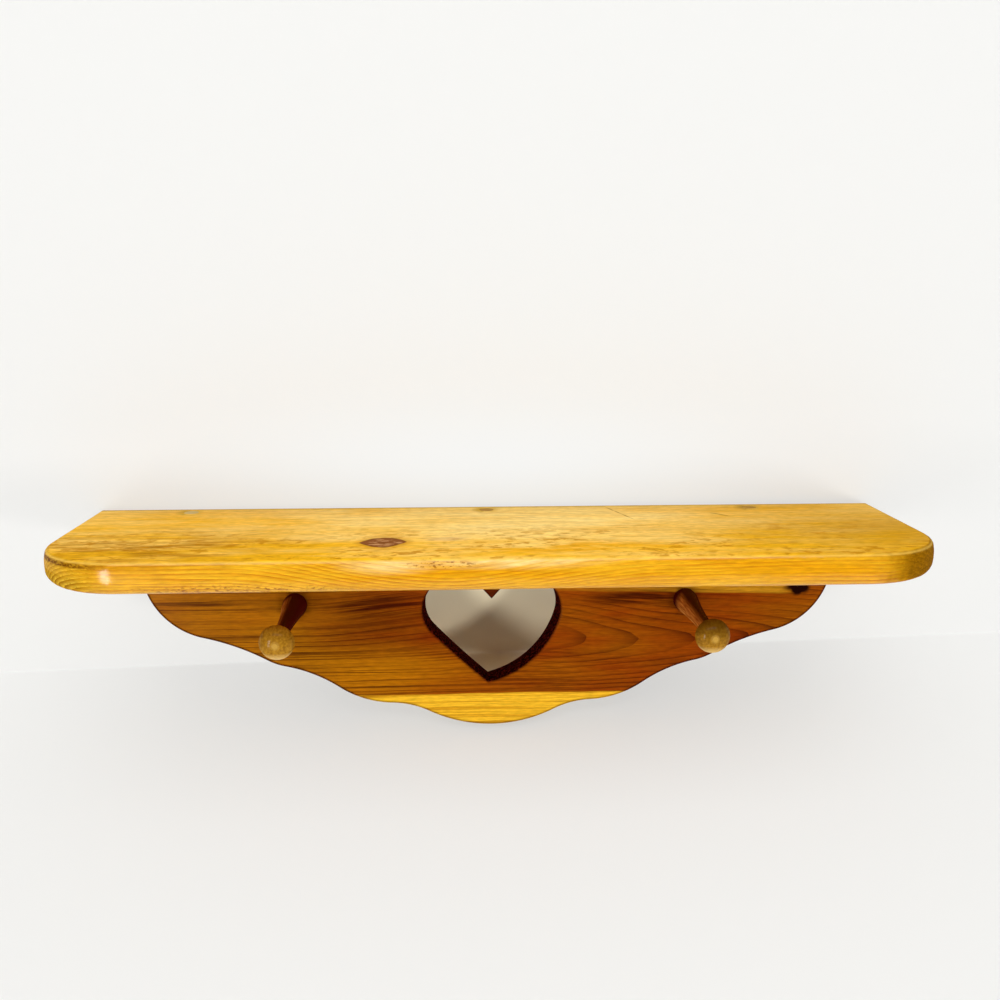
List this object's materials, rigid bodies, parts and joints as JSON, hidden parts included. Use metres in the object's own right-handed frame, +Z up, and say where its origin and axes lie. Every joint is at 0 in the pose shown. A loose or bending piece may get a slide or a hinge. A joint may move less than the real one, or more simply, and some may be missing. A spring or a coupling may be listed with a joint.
{
  "type": "trinket shelf",
  "caption": "Small varnished pine wall shelf on a scalloped backboard with a heart cut through it and turned hanging pegs, hung from keyhole plates.",
  "frame": {"origin": "on the wall face, midway between the entry holes of the two keyhole plates", "axes": "+X along the shelf to the right as seen from the room, +Y into the wall, +Z up"},
  "size_m": [0.515, 0.138, 0.1465],
  "materials": {
    "shelf_pine": "golden pine under clear varnish",
    "backboard_pine": "red-brown pine heartwood under clear varnish",
    "peg_birch": "turned birch under clear varnish",
    "plug_wood": "wood plug, sanded flush and varnished",
    "screw_steel": "zinc-plated",
    "plate_steel": "zinc-plated"
  },
  "bodies": {
    "root": {"shelf_board": "shelf_pine", "backboard": "backboard_pine", "left_peg": "peg_birch", "right_peg": "peg_birch", "left_screw_plug": "plug_wood", "middle_screw_plug": "plug_wood", "right_screw_plug": "plug_wood", "left_shelf_screw": "screw_steel", "middle_shelf_screw": "screw_steel", "right_shelf_screw": "screw_steel", "left_keyhole_plate": "plate_steel", "right_keyhole_plate": "plate_steel", "left_plate_upper_screw": "screw_steel", "left_plate_lower_screw": "screw_steel", "right_plate_upper_screw": "screw_steel", "right_plate_lower_screw": "screw_steel"}
  },
  "joints": []
}
